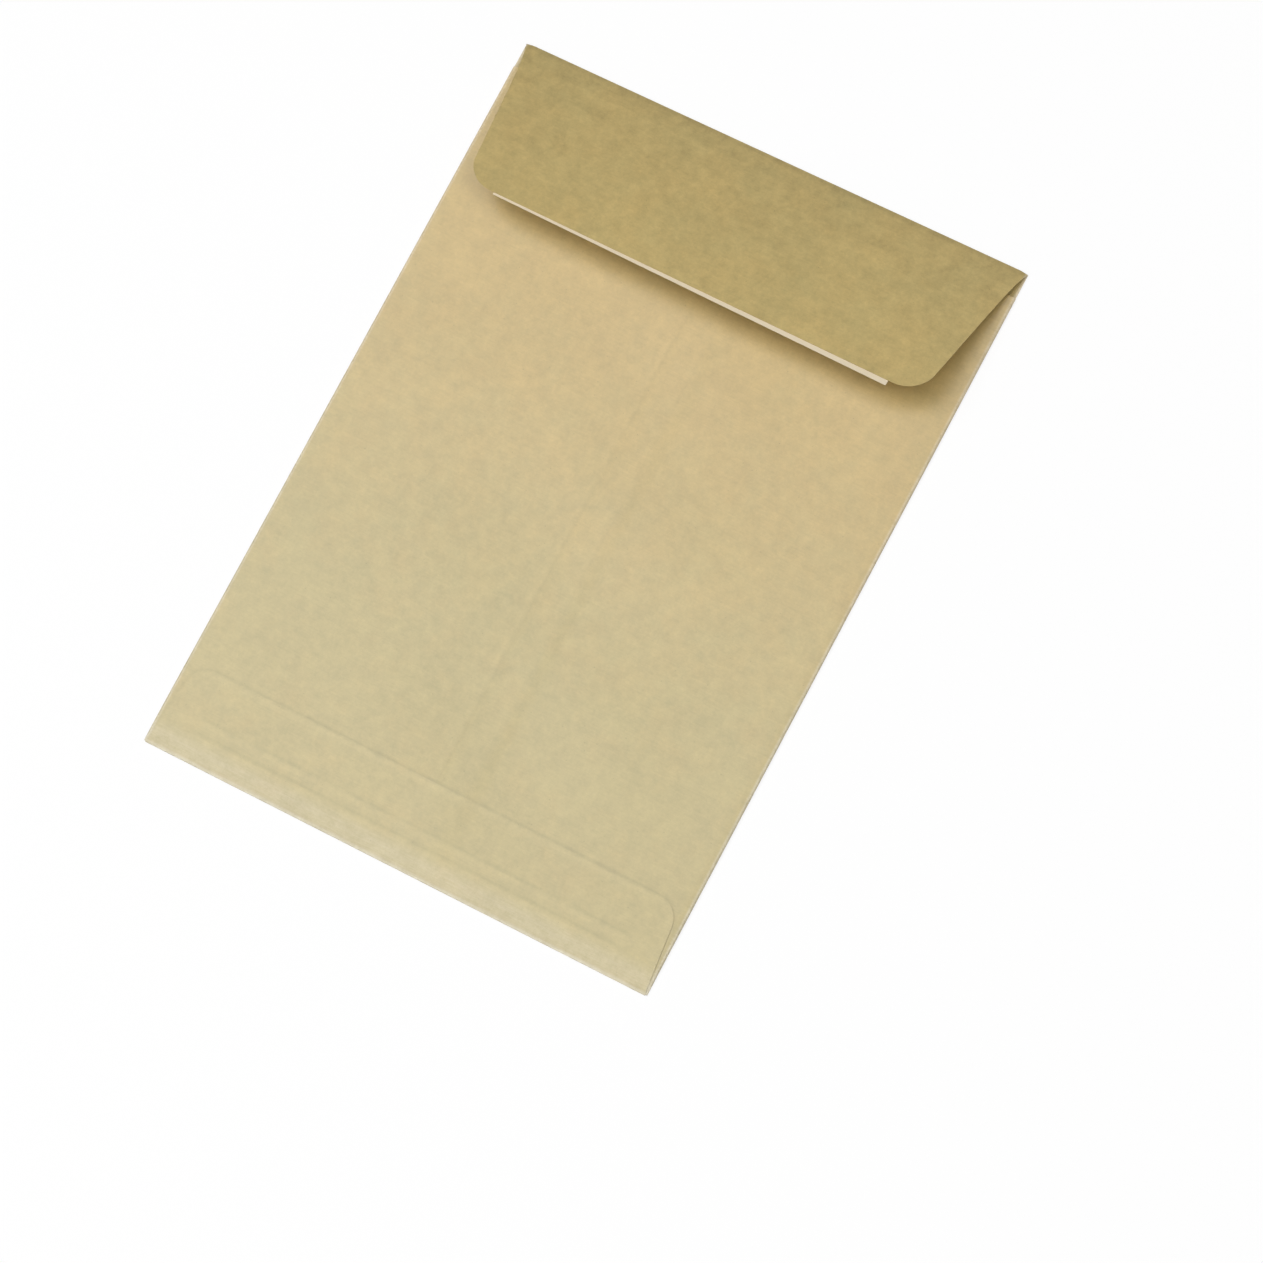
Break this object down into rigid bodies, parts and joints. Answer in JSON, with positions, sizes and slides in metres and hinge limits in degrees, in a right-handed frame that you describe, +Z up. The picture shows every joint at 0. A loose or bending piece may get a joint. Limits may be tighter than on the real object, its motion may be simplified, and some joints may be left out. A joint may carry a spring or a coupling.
{
  "type": "paper envelope",
  "caption": "Kraft paper pocket envelope with a centre seam and a raised peel-and-seal flap, for posting papers folded once.",
  "frame": {"origin": "on the surface that the envelope lies on, under the middle of its outline", "axes": "X across the envelope, Y along it from the bottom edge to the fold of the top flap, Z up; the address side faces down"},
  "size_m": [0.162, 0.229, 0.0164],
  "materials": {
    "kraft_paper": "smooth machine-finished kraft, slightly mottled",
    "adhesive": "glossy pressure-sensitive adhesive",
    "liner_paper": "silicone-coated release paper, satin"
  },
  "bodies": {
    "root": {"envelope_body": "kraft_paper", "adhesive_strip": "adhesive", "release_liner": "liner_paper"}
  },
  "joints": []
}
